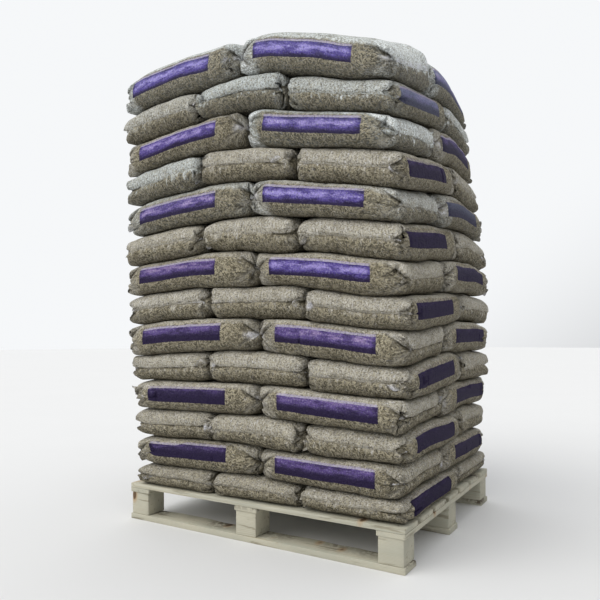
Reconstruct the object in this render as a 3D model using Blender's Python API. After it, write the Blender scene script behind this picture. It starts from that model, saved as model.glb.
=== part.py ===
"""Loaded pallet: seventy film sacks of wood pellets, cross-stacked fourteen layers high, on a nine-block pallet.

World X runs along the pallet's long front, Y into its depth, Z up from the floor. Metres.
The origin is on the floor at the middle of the pallet, under the middle bottom board.
"""
import bpy

# Gap between pieces that rest on each other
GAP = 0.0003

# Pallet
PALLET_LENGTH = 1.200
PALLET_DEPTH = 1.000
BOTTOM_BOARD = 0.022
BLOCK_HEIGHT = 0.088
TOP_BOARD = 0.018
BOTTOM_BOARD_WIDTH = 0.098
BLOCK_LENGTH = 0.088
BLOCK_DEPTH = 0.092
STRINGER_WIDTH = 0.100
DECK_BOARD_WIDTH = 0.115
DECK_BOARDS = 7
BOARD_EDGE = 0.0025
MIDDLE_COLUMN = -0.018
DECK_TOP = BOTTOM_BOARD + BLOCK_HEIGHT + 2 * TOP_BOARD

# Sacks: one is 600 by 400 mm, and five cover the pallet
SACK_WIDTH = 0.400
LAYERS = 14
FIRST_LAYER = 0.0885
PRESSED_LAYER = 0.1145
LOOSE_LAYER = 0.1315
PRESSED_LAYERS = 7
LAST_LAYER = 0.165
HALF_LENGTH = PALLET_LENGTH / 2
HALF_DEPTH = PALLET_DEPTH / 2
ROW_JOINT = HALF_DEPTH - SACK_WIDTH

# Sag of the stack, as shares of the height above the deck
CROWN_ALONG = 0.099
CROWN_DEEP = 0.085
NEAR_CORNER_SAG = 0.050
RIGHT_LEAN = 0.055
FAR_CORNER_LEAN = 0.072
LEAN_START = 1.05
LEAN_FULL = 1.74

# Outline: how far the bulge of a layer reaches from the middle, at the bottom and higher up
LEFT_REACH = (0.576, 0.622)
RIGHT_REACH = (0.598, 0.613)
FRONT_REACH = (0.482, 0.510)
BACK_REACH = (0.486, 0.508)
REACH_RISE = 0.90
SEAM_INSET = 0.024
CORNER_INSET = 0.012
EDGE_DROP = 0.008
TOP_INSET = 0.042
TOP_DROP = 0.030
JOINT_WIDTH = 0.024
JOINT_DEPTH = 0.046
JOINT_MOUTH = 0.024
FACE_GROOVE = 0.010
TOP_GROOVE = 0.022
CORNER_BAND = 0.120

# How far a sack's end and its long side lie behind the outline, at shares of the layer's height
RING_SHARES = (0.0, 0.10, 0.26, 0.50, 0.74, 0.90, 1.0)
END_INSETS = (0.044, 0.027, 0.008, 0.004, 0.008, 0.025, 0.044)
SIDE_INSETS = (0.024, 0.011, 0.000, -0.003, 0.000, 0.009, 0.024)

# Where the front sacks of each layer meet, along X
FRONT_JOINTS = {
    1: (-0.190, 0.203), 2: (0.030,), 3: (-0.190, 0.211), 4: (0.032,), 5: (-0.195, 0.230),
    6: (0.032,), 7: (-0.191, 0.229), 8: (0.025,), 9: (-0.212, 0.203), 10: (0.018,),
    11: (-0.210, 0.192), 12: (-0.026,), 13: (-0.224, 0.165), 14: (-0.043,),
}

SACK_COLOUR = (0.36, 0.31, 0.24, 1.0)
WOOD_COLOUR = (0.62, 0.52, 0.37, 1.0)


def clear_scene():
    for item in list(bpy.data.objects):
        bpy.data.objects.remove(item, do_unlink=True)


def material(name, colour, roughness):
    mat = bpy.data.materials.new(name)
    mat.use_nodes = True
    shader = mat.node_tree.nodes["Principled BSDF"]
    shader.inputs["Base Color"].default_value = colour
    shader.inputs["Roughness"].default_value = roughness
    shader.inputs["Metallic"].default_value = 0.0
    return mat


def add_object(name, vertices, faces, mat):
    mesh = bpy.data.meshes.new(name)
    mesh.from_pydata(vertices, [], faces)
    mesh.materials.append(mat)
    mesh.update()
    item = bpy.data.objects.new(name, mesh)
    bpy.context.scene.collection.objects.link(item)
    return item


def board(name, low, high, mat):
    """A sawn piece between two corners, with its edges broken."""
    corners = [(x, y, z) for x in (low[0], high[0]) for y in (low[1], high[1]) for z in (low[2], high[2])]
    faces = [(0, 1, 3, 2), (4, 6, 7, 5), (0, 4, 5, 1), (2, 3, 7, 6), (0, 2, 6, 4), (1, 5, 7, 3)]
    item = add_object(name, corners, faces, mat)
    edge = item.modifiers.new("broken edge", "BEVEL")
    edge.width = BOARD_EDGE
    edge.segments = 1
    return item


def columns():
    """Middles of the three block columns along X, by name."""
    side = HALF_LENGTH - STRINGER_WIDTH / 2
    return (("left", -side), ("middle", MIDDLE_COLUMN), ("right", side))


def rows():
    """Middles of the three block rows along Y, by name."""
    side = HALF_DEPTH - BOTTOM_BOARD_WIDTH / 2
    return (("front", -side), ("middle", 0.0), ("back", side))


def build_pallet(mat):
    block_low = BOTTOM_BOARD
    stringer_low = block_low + BLOCK_HEIGHT
    deck_low = stringer_low + TOP_BOARD
    for row, y in rows():
        half = BOTTOM_BOARD_WIDTH / 2
        board(f"bottom_board_{row}", (-HALF_LENGTH, y - half, 0.0), (HALF_LENGTH, y + half, block_low - GAP), mat)
    for row, y in rows():
        for column, x in columns():
            low = (x - BLOCK_LENGTH / 2, y - BLOCK_DEPTH / 2, block_low)
            high = (x + BLOCK_LENGTH / 2, y + BLOCK_DEPTH / 2, stringer_low - GAP)
            board(f"block_{row}_{column}", low, high, mat)
    for column, x in columns():
        half = STRINGER_WIDTH / 2
        board(f"stringer_board_{column}", (x - half, -HALF_DEPTH, stringer_low),
              (x + half, HALF_DEPTH, deck_low - GAP), mat)
    step = (PALLET_DEPTH - DECK_BOARD_WIDTH) / (DECK_BOARDS - 1)
    for number in range(DECK_BOARDS):
        y = -HALF_DEPTH + number * step
        board(f"deck_board_{number + 1}", (-HALF_LENGTH, y, deck_low),
              (HALF_LENGTH, y + DECK_BOARD_WIDTH, DECK_TOP - GAP), mat)


def smooth_step(value):
    value = min(max(value, 0.0), 1.0)
    return value * value * (3 - 2 * value)


def seam_level(seam):
    """Height of a seam at the middle of the stack: 0 is the deck, LAYERS is the top."""
    height = DECK_TOP
    for layer in range(1, seam + 1):
        if layer == 1:
            height += FIRST_LAYER
        elif layer == LAYERS:
            height += LAST_LAYER
        else:
            looseness = min((layer - 2) / PRESSED_LAYERS, 1.0)
            height += PRESSED_LAYER + (LOOSE_LAYER - PRESSED_LAYER) * looseness
    return height


def seam_height(seam, x, y):
    """The seam's surface: crowned in the middle, and sagging towards the near corner."""
    level = seam_level(seam)
    near = smooth_step((x + 0.2) / 0.8) * smooth_step((0.3 - y) / 0.8)
    sag = CROWN_ALONG * x * x + CROWN_DEEP * y * y + NEAR_CORNER_SAG * near
    return level - (level - DECK_TOP) * sag


def reach(limits, height):
    low, high = limits
    return low + (high - low) * smooth_step((height - DECK_TOP) / REACH_RISE)


def place(x, y, height, inset_x, inset_y):
    """A point of the 1.2 by 1.0 m grid, moved to the stack's outline at a height."""
    across = reach(LEFT_REACH if x < 0 else RIGHT_REACH, height) - inset_x
    deep = reach(FRONT_REACH if y < 0 else BACK_REACH, height) - inset_y
    u = x / HALF_LENGTH
    v = y / HALF_DEPTH
    if abs(u) > 0.99 and abs(v) > 0.99:
        across -= CORNER_INSET
        deep -= CORNER_INSET
    lean = max((height - LEAN_START) / (LEAN_FULL - LEAN_START), 0.0) * max(u, 0.0)
    far = max(v, 0.0)
    lean_left = lean * (RIGHT_LEAN + (FAR_CORNER_LEAN - RIGHT_LEAN) * far)
    return u * across - lean_left, v * deep - lean * far * FAR_CORNER_LEAN


def slid(seam, x, y):
    """A seam's grid line, moved so that the front sacks of the layers at the seam meet where they should."""
    pair = [min(max(layer, 1), LAYERS) for layer in (seam, seam + 1)]
    if pair[0] == pair[1]:
        pair = [LAYERS - 1, LAYERS] if seam else [1, 2]
    odd, even = sorted(pair, key=lambda layer: layer % 2 == 0)
    half = SACK_WIDTH / 2
    stops = [-HALF_LENGTH, -half, 0.0, half, HALF_LENGTH]
    moves = [0.0, FRONT_JOINTS[odd][0] + half, FRONT_JOINTS[even][0], FRONT_JOINTS[odd][1] - half, 0.0]
    n = next(n for n in range(4) if x <= stops[n + 1] + 1e-9)
    share = (x - stops[n]) / (stops[n + 1] - stops[n])
    frontness = min(max((ROW_JOINT - y) / (2 * ROW_JOINT), 0.0), 1.0)
    return x + frontness * (moves[n] + (moves[n + 1] - moves[n]) * share)


def is_end(layer, x, y, axis):
    """Whether the stack's face along this axis shows a sack's end at the point, and not its long side."""
    if layer % 2 == 1:
        x, y = -x, -y
    return y > 0 if axis == 1 else y < -ROW_JOINT


def insets(layer, x, y, ring):
    """How far a point on the outline lies behind it, along X and Y."""
    found = []
    for axis, value, half in ((0, x, HALF_LENGTH), (1, y, HALF_DEPTH)):
        inset = SEAM_INSET
        if abs(value) > half - 1e-6:
            inset = (END_INSETS if is_end(layer, x, y, axis) else SIDE_INSETS)[ring]
            if is_joint(layer, x, y):
                inset += JOINT_DEPTH + JOINT_MOUTH * (2 * RING_SHARES[ring] - 1) ** 4
        found.append(inset)
    return found


def grid_lines(half, joints):
    """Grid lines along one side: the two ends, a line near each end, and three for each joint."""
    lines = [-half, half, -half + CORNER_BAND, half - CORNER_BAND]
    for joint in joints:
        lines += [joint - JOINT_WIDTH, joint, joint + JOINT_WIDTH]
    return sorted(lines)


def is_joint(layer, x, y):
    """Whether a grid point lies between two sacks of a layer; every second layer is turned half round."""
    if layer % 2 == 1:
        x, y = -x, -y
    row_line = -ROW_JOINT
    on_row_line = abs(y - row_line) < 1e-6
    between_long_sacks = abs(x) < 1e-6 and y < row_line
    between_cross_sacks = abs(abs(x) - SACK_WIDTH / 2) < 1e-6 and y > row_line
    return on_row_line or between_long_sacks or between_cross_sacks


def boundary(columns_count, rows_count):
    """Grid indices round the outline, anticlockwise seen from above."""
    ring = [(i, 0) for i in range(columns_count - 1)]
    ring += [(columns_count - 1, j) for j in range(rows_count - 1)]
    ring += [(i, rows_count - 1) for i in range(columns_count - 1, 0, -1)]
    ring += [(0, j) for j in range(rows_count - 1, 0, -1)]
    return ring


def face_point(layer, seam, x, y, on_edge):
    """A point of a layer's top (seam equals layer) or bottom face."""
    is_top = seam == layer
    is_stack_top = seam == LAYERS
    inset = insets(layer, x, y, -1 if is_top else 0)
    if is_stack_top and on_edge:
        inset = [max(amount, TOP_INSET) for amount in inset]
    px, py = place(slid(seam, x, y), y, seam_level(seam), *inset)
    if is_stack_top:
        edge, groove = TOP_DROP, TOP_GROOVE
    else:
        edge, groove = EDGE_DROP, FACE_GROOVE
    offset = 0.0
    if on_edge and seam > 0:
        offset = edge
    if is_joint(layer, x, y):
        offset = max(offset, groove)
    height = seam_height(seam, px, py)
    return (px, py, height - offset - GAP) if is_top else (px, py, height + offset)


def ring_point(layer, x, y, ring):
    """A point on a layer's side, at one of the ring heights."""
    low = seam_level(layer - 1)
    high = seam_level(layer)
    share = RING_SHARES[ring]
    slide = slid(layer - 1, x, y) * (1 - share) + slid(layer, x, y) * share
    px, py = place(slide, y, low + (high - low) * share, *insets(layer, x, y, ring))
    bottom = seam_height(layer - 1, px, py)
    top = seam_height(layer, px, py)
    return px, py, bottom + (top - bottom) * share


def sack_layer(layer, mat):
    """One layer of five sacks, as a solid with the gaps between the sacks cut into its faces."""
    xs = grid_lines(HALF_LENGTH, (-SACK_WIDTH / 2, 0.0, SACK_WIDTH / 2))
    ys = grid_lines(HALF_DEPTH, (-ROW_JOINT, ROW_JOINT))
    nx, ny = len(xs), len(ys)
    ring = boundary(nx, ny)
    edge = set(ring)
    vertices, index = [], {}
    for seam in (layer - 1, layer):
        for j in range(ny):
            for i in range(nx):
                index[seam, i, j] = len(vertices)
                vertices.append(face_point(layer, seam, xs[i], ys[j], (i, j) in edge))
    loops = [[index[layer - 1, i, j] for i, j in ring]]
    for level in range(1, len(RING_SHARES) - 1):
        loops.append([])
        for i, j in ring:
            loops[-1].append(len(vertices))
            vertices.append(ring_point(layer, xs[i], ys[j], level))
    loops.append([index[layer, i, j] for i, j in ring])
    faces = []
    for j in range(ny - 1):
        for i in range(nx - 1):
            corners = ((i, j), (i + 1, j), (i + 1, j + 1), (i, j + 1))
            low = [index[layer - 1, a, b] for a, b in corners]
            high = [index[layer, a, b] for a, b in corners]
            faces += [(low[0], low[2], low[1]), (low[0], low[3], low[2])]
            faces += [(high[0], high[1], high[2]), (high[0], high[2], high[3])]
    for lower, upper in zip(loops, loops[1:]):
        for n in range(len(ring)):
            m = (n + 1) % len(ring)
            faces += [(lower[n], lower[m], upper[m]), (lower[n], upper[m], upper[n])]
    return add_object(f"sack_layer_{layer:02d}", vertices, faces, mat)


def main():
    clear_scene()
    build_pallet(material("pallet wood", WOOD_COLOUR, 0.8))
    film = material("filled film sack", SACK_COLOUR, 0.45)
    for layer in range(1, LAYERS + 1):
        sack_layer(layer, film)


main()
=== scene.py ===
"""The looks of a pallet stacked with clear film sacks of wood pellets.

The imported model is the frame. Each layer of the load becomes five sacks: the film of a sack is simulated as a
sheet that bends but doesn't stretch, filled out inside a container, and each sack is then fitted between the
seams below and above it. Each board and block of the pallet becomes a sawn timber with worn edges.
Lengths are in metres: X runs along the pallet's front, Y into its depth, Z up.
"""

import math
import random
from collections import namedtuple
from types import SimpleNamespace

import bmesh
import bpy
import numpy as np
from mathutils import Matrix, Vector


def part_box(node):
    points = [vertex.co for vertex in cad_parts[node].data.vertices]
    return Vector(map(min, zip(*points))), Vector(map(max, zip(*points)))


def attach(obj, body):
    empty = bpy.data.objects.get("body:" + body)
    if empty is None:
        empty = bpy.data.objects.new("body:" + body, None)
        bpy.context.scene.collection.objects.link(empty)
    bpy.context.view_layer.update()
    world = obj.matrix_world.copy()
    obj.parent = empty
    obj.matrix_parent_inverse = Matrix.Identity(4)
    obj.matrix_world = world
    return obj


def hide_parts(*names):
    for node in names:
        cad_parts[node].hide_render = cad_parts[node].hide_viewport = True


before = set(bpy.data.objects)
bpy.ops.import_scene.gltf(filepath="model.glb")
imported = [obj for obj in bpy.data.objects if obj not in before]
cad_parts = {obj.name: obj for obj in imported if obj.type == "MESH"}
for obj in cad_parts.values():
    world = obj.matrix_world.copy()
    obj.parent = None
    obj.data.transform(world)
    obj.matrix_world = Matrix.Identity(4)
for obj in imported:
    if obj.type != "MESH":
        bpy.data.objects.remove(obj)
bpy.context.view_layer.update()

# The load, as in the solids
DECK_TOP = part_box("deck_board_1")[1].z
LAYERS = 14
FIRST_LAYER = 0.0885
PRESSED_LAYER = 0.1145
LOOSE_LAYER = 0.1315
PRESSED_LAYERS = 7
HALF_LENGTH = 0.6
HALF_DEPTH = 0.5
CROWN_ALONG = 0.099
CROWN_DEEP = 0.085
NEAR_CORNER_SAG = 0.050
RIGHT_LEAN = 0.055
FAR_CORNER_LEAN = 0.072
LEAN_START = 1.05
LEAN_FULL = 1.74
LEFT_REACH = (0.576, 0.622)
RIGHT_REACH = (0.598, 0.613)
FRONT_REACH = (0.494, 0.510)
BACK_REACH = (0.486, 0.508)
REACH_RISE = 0.90
# Where the front sacks of each layer meet, along X
FRONT_JOINTS = {
    1: (-0.190, 0.203), 2: (0.030,), 3: (-0.190, 0.211), 4: (0.032,), 5: (-0.195, 0.230),
    6: (0.032,), 7: (-0.191, 0.229), 8: (0.025,), 9: (-0.212, 0.203), 10: (0.018,),
    11: (-0.210, 0.192), 12: (-0.026,), 13: (-0.224, 0.165), 14: (-0.043,),
}

# One sack
SACK_LENGTH = 0.600
SACK_WIDTH = 0.400
SACK_HEIGHT = 0.125
TOP_SACK_HEIGHT = 0.168
HEAP_TOP = 0.075
# How far a top sack falls off towards its outer and its inner end, and towards its outer and its inner side
HEAP_END_DROP = (0.034, 0.008)
HEAP_SIDE_DROP = (0.040, 0.015)
# How much thicker, as a share, top sacks are at the outer corner of their outer end, at its inner corner and
# along their outer side
TOP_LIFT = {
    "front_right": (-0.14, 0.27, 0.0), "front_left": (0.05, 0.05, 0.0), "back_right": (0.0, 0.0, -0.30),
}
FILM_ROUND = 0.990
FILM_ALONG = 0.720
SEAL_WIDTH = 0.012
SEAL_THICKNESS = 0.0008
SEAL_CENTRING = 0.95
END_ROOM = 0.010
CLEARANCE = 0.0012
PROUD = 0.002
# How far its ends and sides draw in at the top, at the bottom and at the corners in plan
END_ROUNDING = (0.024, 0.013, 0.010)
SIDE_ROUNDING = (0.014, 0.008, 0.008)
# The folds in which a side's film narrows to a point at the end: how long, how deep, how wide
FOLD_LENGTH = 0.088
FOLD_MIDDLE = 0.08
FOLD_DEPTH = 0.016
FOLD_WIDTH = 0.0065
FOLD_PULL = 0.012
FOLD_LINE_WIDTH = 0.0060
# How far the outer ends and sides of single sacks stand out or back, turn and bulge
END_SHIFT = 0.008
END_TURN = 0.012
SIDE_SHIFT = (-0.006, 0.007)
SIDE_TURN = 0.014
SIDE_BULGE = 0.006

# The printed band on each long side, and its middle above the middle of the side
BAND_LENGTH = 0.390
BAND_HEIGHT = 0.054
BAND_RISE = 0.008
# Where the middles of the bands are seen: along X on the front sacks of even layers, left and right, and
# along Y on the right side
FRONT_BANDS = {2: (-0.307, 0.302), 4: (-0.301, 0.319), 6: (-0.316, 0.311), 8: (-0.339, 0.295),
               10: (-0.337, 0.274), 12: (-0.333, 0.261), 14: (-0.365, 0.226)}
RIGHT_BANDS = {1: -0.236, 2: 0.222, 3: -0.202, 4: 0.232, 5: -0.219, 6: 0.201, 7: -0.248,
               8: 0.171, 9: -0.270, 10: 0.149, 11: -0.244, 12: 0.152, 13: -0.242, 14: 0.151}
# How far its print has paled, and how much painted light it catches, from the bottom layer to the top one: on
# the front, left and right, and on the shaded right side
FADED_LEFT = (0.30, 0.22, 0.64, 0.80, 1.05)
FADED_RIGHT = (0.40, 0.50, 0.86, 0.88, 1.00)
FADED_SHADED = (0.0, 0.0, 0.02, 0.12, 0.70)
# How much haze and painted reflection of the sky lie over the print in the upper layers: on the front and far
# sides, and on the right side
BAND_VEIL = (0.06, 0.45)
# How hazy the film is: at the deck, how much more at the top, in the top layer besides, and how far each sack
# may be off
HAZE_LOW = 0.60
HAZE_RISE = 0.40
TOP_HAZE = 0.12
HAZE_SPREAD = 0.10

# Film simulation: cells of the coarsest grid, and for each grid its steps and pressure
CELLS_ROUND = 40
CELLS_ALONG = 30
GRIDS = ((80, 1.0e-3), (50, 3.5e-4), (50, 1.2e-4))
SWEEPS = 4
DAMPING = 0.9
BENDING = 0.02
SHEAR = 0.5

# How many different sacks are simulated, and the triangles kept of each
PRESSED_SEEDS = (2, 5, 9, 12, 17, 23, 31)
TOP_SEEDS = (40, 44, 51, 58)
CORNER_TRIANGLES = 12500
MIDDLE_TRIANGLES = 8000
TOP_TRIANGLES = 17000


def smooth_step(value):
    value = np.clip(value, 0.0, 1.0)
    return value * value * (3 - 2 * value)


def in_scene(name, data):
    """A new object in the scene's collection."""
    thing = bpy.data.objects.new(name, data)
    bpy.context.scene.collection.objects.link(thing)
    return thing


def stored(collection, field, size=3):
    """A field of a mesh's vertices, attribute or UV map, one row for each."""
    values = np.empty(size * len(collection))
    collection.foreach_get(field, values)
    return values.reshape(-1, size)


def store(mesh, name, values):
    """Keeps a vector or, for a flat list, a number for each vertex as an attribute."""
    kind, field = ("FLOAT", "value") if np.ndim(values) == 1 else ("FLOAT_VECTOR", "vector")
    mesh.attributes.new(name, kind, "POINT").data.foreach_set(field, np.ravel(values))


def smooth_noise(rng, shape, size):
    """Random relief that repeats at the grid's edges, with features of this many cells and a spread of 1."""
    spectrum = np.fft.fft2(rng.normal(size=shape))
    down = np.fft.fftfreq(shape[0])[:, None]
    across = np.fft.fftfreq(shape[1])[None, :]
    relief = np.fft.ifft2(spectrum * np.exp(-0.5 * (down**2 + across**2) * (2 * np.pi * size) ** 2)).real
    return relief / relief.std()


# Film simulation
# The film is a tube, a grid of points (round, along). Row 0 is the middle of the +Y side, a quarter of the
# way on is the middle of the top, half way the -Y side, three quarters the underside.


def film_pairs(rows, columns, slack):
    """Groups of (first points, second points, rest length, stiffness) in which no point comes twice."""
    index = np.arange(rows * columns).reshape(rows, columns)
    following = np.roll(index, -1, 0)
    round_step = FILM_ROUND / rows
    along_step = FILM_ALONG / (columns - 1)
    diagonal = math.hypot(round_step, along_step)
    groups = []

    def add(first, second, rest, stiffness):
        first = first.ravel()
        rest = (rest * slack.ravel()[first])[:, None]
        groups.append((first, second.ravel(), rest, stiffness))

    for start in (0, 1):
        add(index[start::2], following[start::2], round_step, 1.0)
        add(index[:, start:-1:2], index[:, start + 1::2], along_step, 1.0)
        add(index[start::2, :-1], following[start::2, 1:], diagonal, SHEAR)
        add(index[start::2, 1:], following[start::2, :-1], diagonal, SHEAR)
    for start in (0, 2):
        lines = [i for i in range(rows) if i % 4 in (start, start + 1)]
        add(index[lines], np.roll(index, -2, 0)[lines], 2 * round_step, BENDING)
        lines = [j for j in range(columns - 2) if j % 4 in (start, start + 1)]
        add(index[:, lines], index[:, [j + 2 for j in lines]], 2 * along_step, BENDING)
    return groups


def pull_together(points, groups):
    for first, second, rest, stiffness in groups:
        apart = points[second] - points[first]
        distance = np.sqrt((apart * apart).sum(1))[:, None] + 1e-9
        shift = 0.5 * stiffness * (1 - rest / distance) * apart
        points[first] += shift
        points[second] -= shift


def outward(grid):
    """The grid's normals, longer where its cells are larger."""
    round_way = np.roll(grid, -1, 0) - np.roll(grid, 1, 0)
    along_way = 2 * np.gradient(grid, axis=1)
    return np.cross(round_way, along_way)


def close_ends(grid):
    """Presses the upper and the lower film together along both ends, as a seal does."""
    opposite = (-np.arange(grid.shape[0])) % grid.shape[0]
    width = max(1, round(SEAL_WIDTH / FILM_ALONG * (grid.shape[1] - 1)))
    for columns in (slice(0, width), slice(-width, None)):
        grid[:, columns] = (grid[:, columns] + grid[opposite, columns]) / 2
        grid[:, columns, 2] *= SEAL_CENTRING


def pressed_room(x, y):
    """Underside and top of the room that a sack in the stack has."""
    return -SACK_HEIGHT / 2, SACK_HEIGHT / 2


def heaped_room(x, y):
    """Underside and top of the room of a top sack: a low heap that falls off to its outer end and side."""
    along = 2 * x / SACK_LENGTH
    across = 2 * y / SACK_WIDTH
    drop = np.where(along > 0, *HEAP_END_DROP) * along**6
    drop += np.where(across > 0, *HEAP_SIDE_DROP) * across**4
    return -SACK_HEIGHT / 2, TOP_SACK_HEIGHT - SACK_HEIGHT / 2 - drop


def keep_inside(grid, room):
    half_length = SACK_LENGTH / 2 + END_ROOM
    grid[..., 0] = np.clip(grid[..., 0], -half_length, half_length)
    grid[..., 1] = np.clip(grid[..., 1], -SACK_WIDTH / 2, SACK_WIDTH / 2)
    low, high = room(grid[..., 0], grid[..., 1])
    grid[..., 2] = np.clip(grid[..., 2], low, high)


def fill_out(grid, slack, steps, pressure, room):
    """Lets the pressed-out film settle against its container."""
    rows, columns, _ = grid.shape
    groups = film_pairs(rows, columns, slack)
    cell = 4 * FILM_ROUND / rows * FILM_ALONG / (columns - 1)
    moving = np.zeros_like(grid)
    for _ in range(steps):
        moving = DAMPING * moving + pressure / cell * outward(grid)
        before = grid.copy()
        grid = grid + moving
        for _ in range(SWEEPS):
            pull_together(grid.reshape(-1, 3), groups)
            close_ends(grid)
            keep_inside(grid, room)
        moving = grid - before
    return grid


def flat_film(rows, columns, rng):
    """The empty sack: two flat films a little apart."""
    turn = np.arange(rows) / rows * 2
    upper = turn < 1
    y = np.where(upper, 0.5 - turn, turn - 1.5) * FILM_ROUND / 2
    x = np.linspace(-FILM_ALONG / 2, FILM_ALONG / 2, columns)
    bulge = np.sqrt(np.outer(np.sin(np.pi * (turn % 1)), np.sin(np.pi * np.linspace(0, 1, columns)).clip(0)))
    grid = np.zeros((rows, columns, 3))
    grid[..., 0] = x
    grid[..., 1] = y[:, None]
    grid[..., 2] = 0.02 * np.where(upper, 1, -1)[:, None] * bulge + rng.normal(0, 4e-4, (rows, columns))
    return grid


def doubled(values):
    """The same grid with a new point between each two, round and along."""
    rows, columns = values.shape[:2]
    tall = np.empty((2 * rows, columns) + values.shape[2:])
    tall[0::2] = values
    tall[1::2] = (values + np.roll(values, -1, 0)) / 2
    wide = np.empty((2 * rows, 2 * columns - 1) + values.shape[2:])
    wide[:, 0::2] = tall
    wide[:, 1::2] = (tall[:, :-1] + tall[:, 1:]) / 2
    return wide


def simulate_sack(seed, looseness, room):
    """The film of a filled sack."""
    rng = np.random.default_rng(seed)
    grid = flat_film(CELLS_ROUND, CELLS_ALONG + 1, rng)
    loose = 0.5 * smooth_noise(rng, grid.shape[:2], 1.5)
    for number, (steps, pressure) in enumerate(GRIDS):
        if number:
            grid = doubled(grid)
            grid += rng.normal(0, 5e-4, grid.shape)
            loose = doubled(loose)
            loose += 0.5 * smooth_noise(rng, loose.shape, 2.0)
        grid = fill_out(grid, 1 + looseness * loose, steps, pressure, room)
    return grid


def farthest(reach_out, place, level):
    """The farthest reach round each place and level, both from -1 to 1, as a smooth surface."""
    table = np.zeros((24, 8))
    at = []
    for value, count in ((place, table.shape[0]), (level, table.shape[1])):
        at.append(np.clip((value + 1) / 2 * count - 0.5, 0, count - 1.001))
    np.maximum.at(table, tuple(np.round(line).astype(int) for line in at), reach_out)
    for _ in range(3):
        padded = np.pad(table, 1, mode="edge")
        around = (padded[:-2, 1:-1], padded[2:, 1:-1], padded[1:-1, :-2], padded[1:-1, 2:])
        table = np.where(table == 0, np.maximum.reduce(around), (4 * table + sum(around)) / 8)
    (i, j), (f, g) = ([np.floor(line).astype(int) for line in at], [line % 1 for line in at])
    return ((1 - f) * ((1 - g) * table[i, j] + g * table[i, j + 1])
            + f * ((1 - g) * table[i + 1, j] + g * table[i + 1, j + 1]))


def levels(grid, top):
    """Each point's height between the sack's underside, -1, and its top, 1."""
    height = grid[..., 2]
    return np.clip(np.where(height > 0, height / top, 2 * height / SACK_HEIGHT), -1, 1)


def filled_box(grid, top):
    """The same sack with its ends and sides moved out until it fills its place, all edges rounded."""
    grid = grid.copy()
    half = (SACK_LENGTH / 2, SACK_WIDTH / 2)
    level = levels(grid, top)
    for axis, start, rounding in ((0, 0.12, END_ROUNDING), (1, 0.08, SIDE_ROUNDING)):
        for sign in (1, -1):
            reach_out = sign * grid[..., axis]
            chosen = reach_out > start
            place = grid[..., 1 - axis][chosen] / half[1 - axis]
            height = level[chosen]
            pull = np.where(height > 0, rounding[0] * height**2, rounding[1] * -height**3)
            wanted = half[axis] - pull - rounding[2] * np.abs(place) ** 8
            found = farthest(reach_out[chosen], place, height)
            share = np.clip((wanted - start) / np.maximum(found - start, 1e-6), 0.8, 1.8)
            moved = start + (reach_out[chosen] - start) * share
            grid[..., axis][chosen] = sign * np.minimum(moved, wanted + PROUD)
    return grid


def folds(grid, top):
    """Each point's level, its share of a fold's length from the end, and how far it lies off the crease."""
    level = levels(grid, top)
    from_end = np.maximum(SACK_LENGTH / 2 - np.abs(grid[..., 0]), 0)
    share = from_end / FOLD_LENGTH
    return level, share, (np.abs(level - FOLD_MIDDLE) - share) * SACK_HEIGHT / 2


def fold_strength(share):
    """How strongly a fold shows at this share of its length from the end: it fades out towards its tip."""
    return 1 - smooth_step(share * 1.25 - 0.30)


def folded_corners(grid, top):
    """The same sack with its outer side's film narrowing to a point at both ends, between two creases."""
    grid = grid.copy()
    _, share, beside = folds(grid, top)
    on_side = smooth_step((grid[..., 1] - SACK_WIDTH / 2 + 0.045) / 0.025)
    crease = FOLD_DEPTH * np.exp(-(beside / FOLD_WIDTH) ** 2)
    panel = FOLD_PULL * np.maximum(1 - share, 0) * (1 - smooth_step(beside / 0.012 + 0.5))
    grid[..., 1] -= on_side * fold_strength(share) * (crease + panel)
    return grid


# Sack meshes


def creased(grid):
    """How much the film wrinkles at each point, from 0 to about 1."""
    soft = grid.copy()
    for _ in range(6):
        around = np.roll(soft, 1, 0) + np.roll(soft, -1, 0)
        soft[:, 1:-1] = (around[:, 1:-1] + soft[:, :-2] + soft[:, 2:]) / 4
    relief = np.linalg.norm(grid - soft, axis=-1)
    for _ in range(3):
        relief = (2 * relief + np.roll(relief, 1, 0) + np.roll(relief, -1, 0)) / 4
    return np.clip(relief / 0.004, 0, 1)


def film_quads(rows, columns):
    """Corner numbers of the film's faces. At both ends the upper and the lower film share their points."""
    index = np.arange(rows * columns).reshape(rows, columns)
    mirror = (-np.arange(rows)) % rows
    for end in (0, columns - 1):
        index[:, end] = np.minimum(index[:, end], index[mirror, end])
    following = np.roll(index, -1, 0)
    return np.stack((index[:, :-1], following[:, :-1], following[:, 1:], index[:, 1:]), -1).reshape(-1, 4)


def with_thick_seals(grid):
    """The same film with a little thickness between the films of its sealed ends."""
    seal = max(1, round(SEAL_WIDTH / FILM_ALONG * (grid.shape[1] - 1)))
    normals = outward(grid)
    normals /= np.linalg.norm(normals, axis=-1, keepdims=True) + 1e-12
    points = grid.copy()
    for columns in (slice(1, seal), slice(-seal, -1)):
        points[:, columns] += SEAL_THICKNESS / 2 * normals[:, columns]
    return points


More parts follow.
